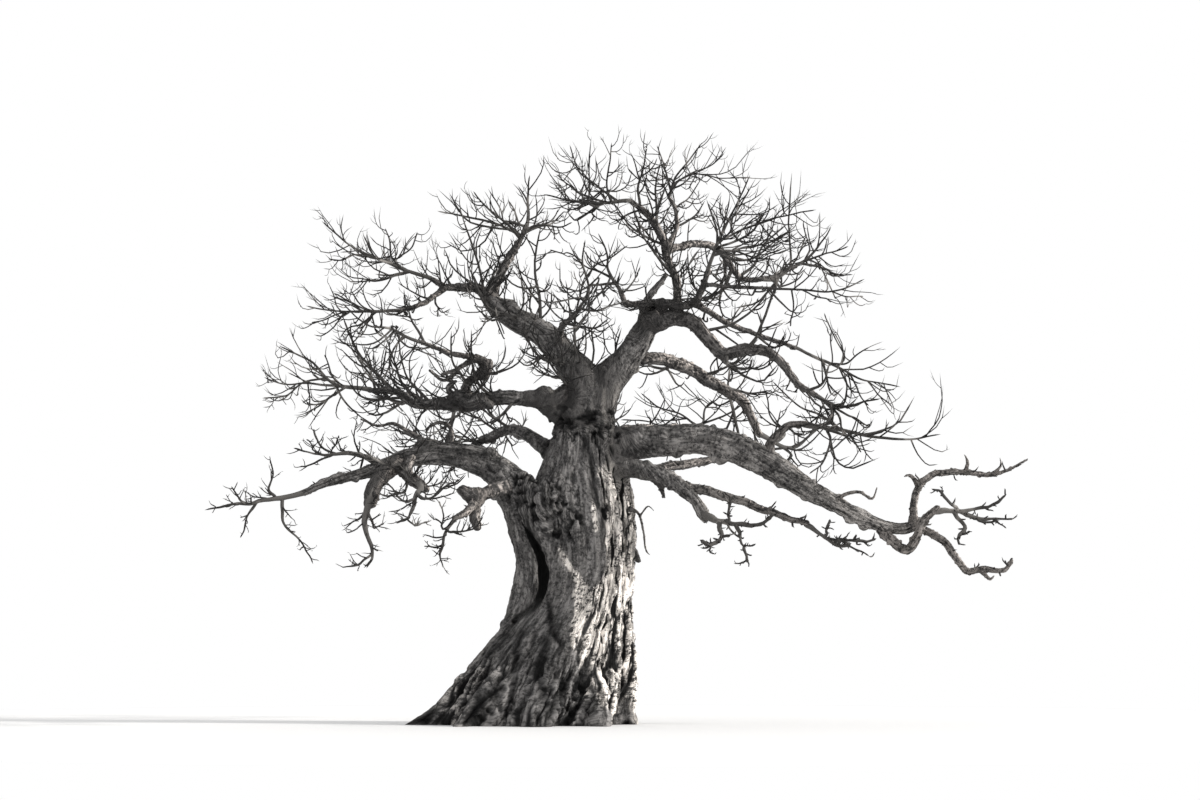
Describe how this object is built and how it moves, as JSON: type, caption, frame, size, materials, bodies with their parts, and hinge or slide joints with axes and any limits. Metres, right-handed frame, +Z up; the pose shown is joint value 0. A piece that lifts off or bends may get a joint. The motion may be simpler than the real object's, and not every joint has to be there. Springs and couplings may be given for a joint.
{
  "type": "baobab tree",
  "caption": "Bare baobab tree with a massive fluted trunk, a flared foot, a constricted neck under its fork, long snaking boughs and a wide crown of leafless twigs.",
  "frame": {"origin": "on the flat cut under the trunk, at ground level, below the middle of the column", "axes": "+Z up the trunk, +X to the right as seen from the front, towards the long low bough, +Y away from the front, towards the back of the crown"},
  "size_m": [19.9428, 13.3, 14.9665],
  "materials": {
    "trunk_bark": "rough fissured bark, dark grey with pale weathered ridges",
    "bough_bark": "smooth grey wrinkled bark",
    "twig_bark": "dark matt twigs"
  },
  "bodies": {
    "root": {"trunk": "trunk_bark", "left_low_bough": "bough_bark", "left_low_stub": "bough_bark", "left_front_limb": "bough_bark", "left_low_top_limb": "bough_bark", "left_back_bough": "bough_bark", "left_middle_bough": "bough_bark", "left_contorted_bough": "bough_bark", "left_upper_bough": "bough_bark", "left_upper_arm": "bough_bark", "left_upper_drop": "bough_bark", "left_upright_bough": "bough_bark", "crotch_limb": "bough_bark", "right_upper_bough": "bough_bark", "swan_bough": "bough_bark", "swan_left_limb": "bough_bark", "central_stem": "bough_bark", "crest_riser": "bough_bark", "right_upper_arm": "bough_bark", "right_level_limb": "bough_bark", "right_s_bough": "bough_bark", "right_diagonal_limb": "bough_bark", "right_middle_bough": "bough_bark", "right_back_limb": "bough_bark", "right_low_bough": "bough_bark", "outer_dip_limb": "bough_bark", "outer_rise_limb": "bough_bark", "outer_drop_limb": "bough_bark", "cluster_limb": "bough_bark", "right_under_bough": "bough_bark", "right_under_outer": "bough_bark", "right_hidden_bough": "bough_bark", "near_stub": "bough_bark", "left_low_twigs": "twig_bark", "left_low_stub_twigs": "twig_bark", "left_front_twigs": "twig_bark", "left_low_top_twigs": "twig_bark", "left_back_twigs": "twig_bark", "left_middle_twigs": "twig_bark", "left_contorted_twigs": "twig_bark", "left_upper_arm_twigs": "twig_bark", "left_upper_drop_twigs": "twig_bark", "left_upright_twigs": "twig_bark", "crotch_twigs": "twig_bark", "swan_twigs": "twig_bark", "swan_left_twigs": "twig_bark", "central_stem_twigs": "twig_bark", "crest_riser_twigs": "twig_bark", "right_upper_arm_twigs": "twig_bark", "right_level_twigs": "twig_bark", "right_s_twigs": "twig_bark", "right_diagonal_twigs": "twig_bark", "right_middle_twigs": "twig_bark", "right_back_twigs": "twig_bark", "outer_dip_twigs": "twig_bark", "cluster_twigs": "twig_bark", "right_under_twigs": "twig_bark", "right_under_outer_twigs": "twig_bark", "near_stub_twigs": "twig_bark"}
  },
  "joints": []
}
